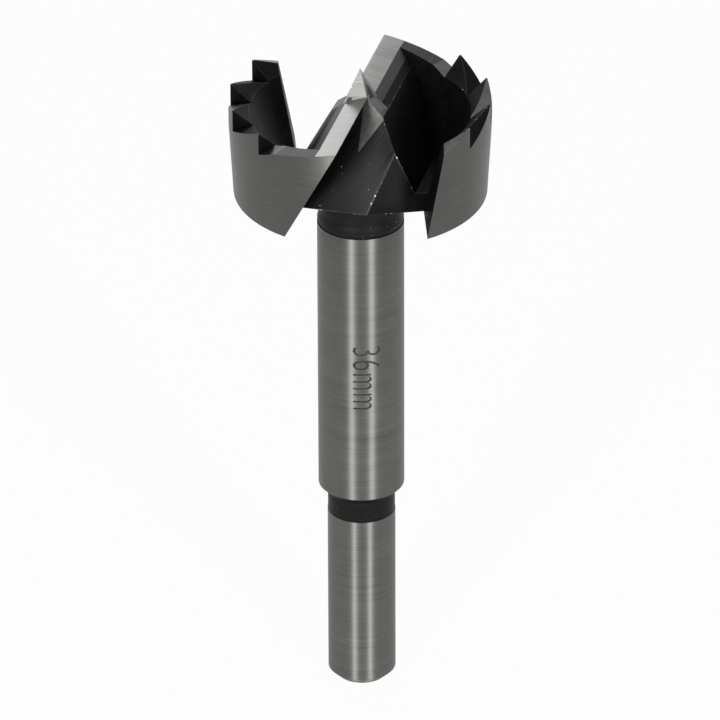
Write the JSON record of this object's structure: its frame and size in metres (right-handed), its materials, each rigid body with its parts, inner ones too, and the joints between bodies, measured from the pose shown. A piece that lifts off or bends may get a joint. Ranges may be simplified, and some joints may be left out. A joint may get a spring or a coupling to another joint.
{
  "type": "forstner bit",
  "caption": "Sawtooth Forstner drill bit: round shank, thicker turned body and a toothed cutting head with lifters, chip gullets and a centre point, for boring flat-bottomed holes in wood.",
  "frame": {"origin": "centre of the flat shank end, which is the bottom centre of the bounding box", "axes": "+Z along the bit's axis from the shank end to the centre point; the lifters' cutting edges run along Y"},
  "size_m": [0.036, 0.036, 0.096],
  "materials": {
    "forstner_bit": "ground steel, with black oxide in the milled pockets, gullets, neck and band"
  },
  "bodies": {
    "root": {"forstner_bit": "forstner_bit"}
  },
  "joints": []
}
